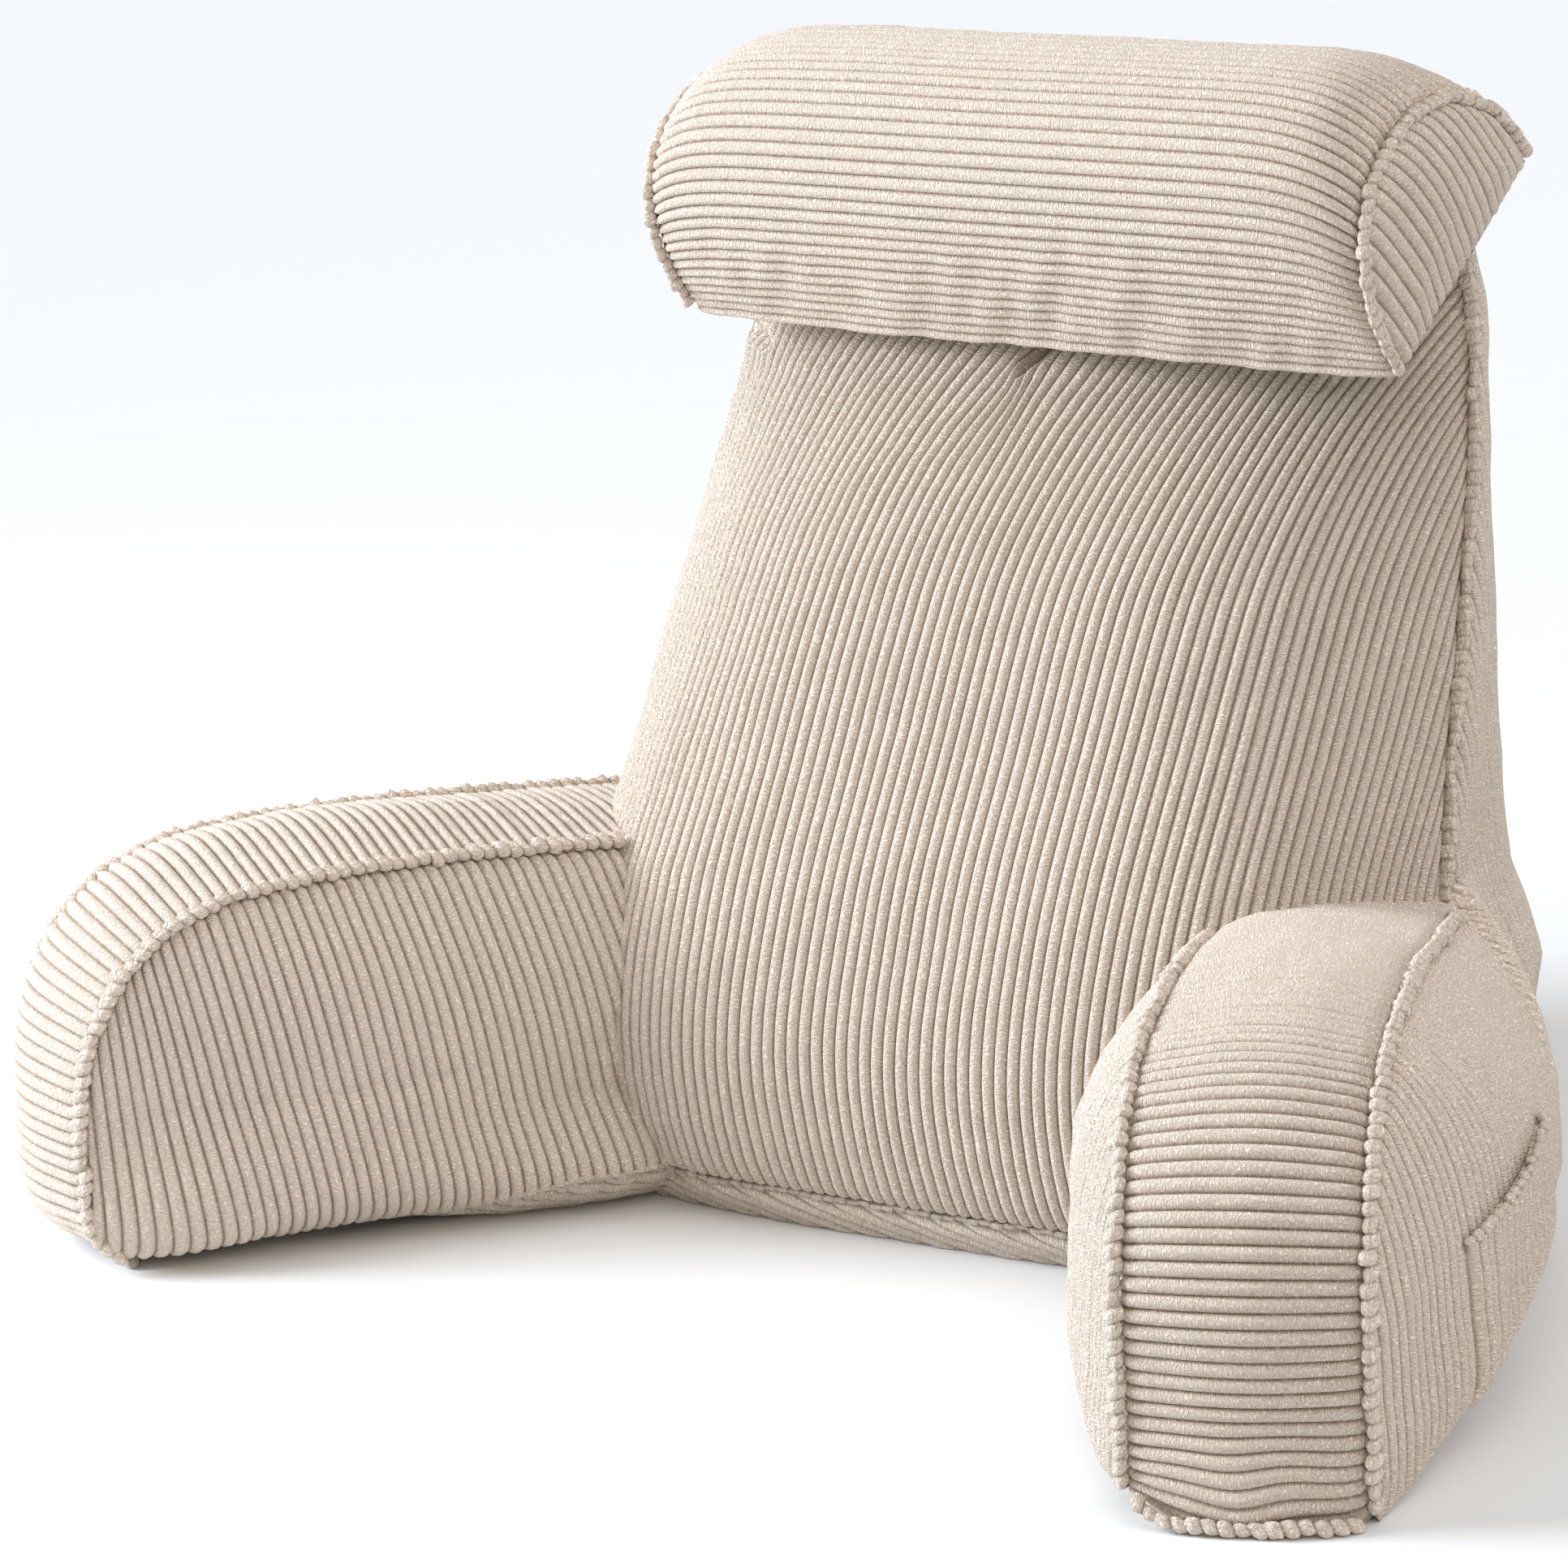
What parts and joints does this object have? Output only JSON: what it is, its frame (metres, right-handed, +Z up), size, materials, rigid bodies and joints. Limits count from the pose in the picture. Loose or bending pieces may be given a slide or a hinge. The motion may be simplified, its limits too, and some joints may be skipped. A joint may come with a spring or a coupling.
{
  "type": "reading pillow with arms",
  "caption": "Backrest cushion with two splayed padded arms, a half-round neck roll on top and a patch pocket on one arm, for sitting up and reading in bed or on a floor.",
  "frame": {"origin": "on the floor under the centre of the whole pillow's box", "axes": "+Z up from the floor; -Y is the way the sitter faces; +X is to the right seen from the front, the side of the arm with the pocket"},
  "size_m": [0.8311, 0.6171, 0.5612],
  "materials": {
    "corduroy": "wide-wale cotton corduroy, warm beige, matt with a soft sheen on the ribs",
    "seam_cloth": "gathered corduroy seam allowance, one bead for each rib"
  },
  "bodies": {
    "root": {"backrest": "corduroy", "arm_right": "corduroy", "arm_left": "corduroy", "neck_roll": "corduroy", "pocket": "corduroy", "pocket_binding": "seam_cloth", "seam_arm_right_inner": "seam_cloth", "seam_arm_right_outer": "seam_cloth", "seam_arm_left_inner": "seam_cloth", "seam_arm_left_outer": "seam_cloth", "seam_foot_right": "seam_cloth", "seam_foot_left": "seam_cloth", "seam_back_right": "seam_cloth", "seam_back_left": "seam_cloth", "seam_roll_right": "seam_cloth", "seam_roll_left": "seam_cloth"}
  },
  "joints": []
}
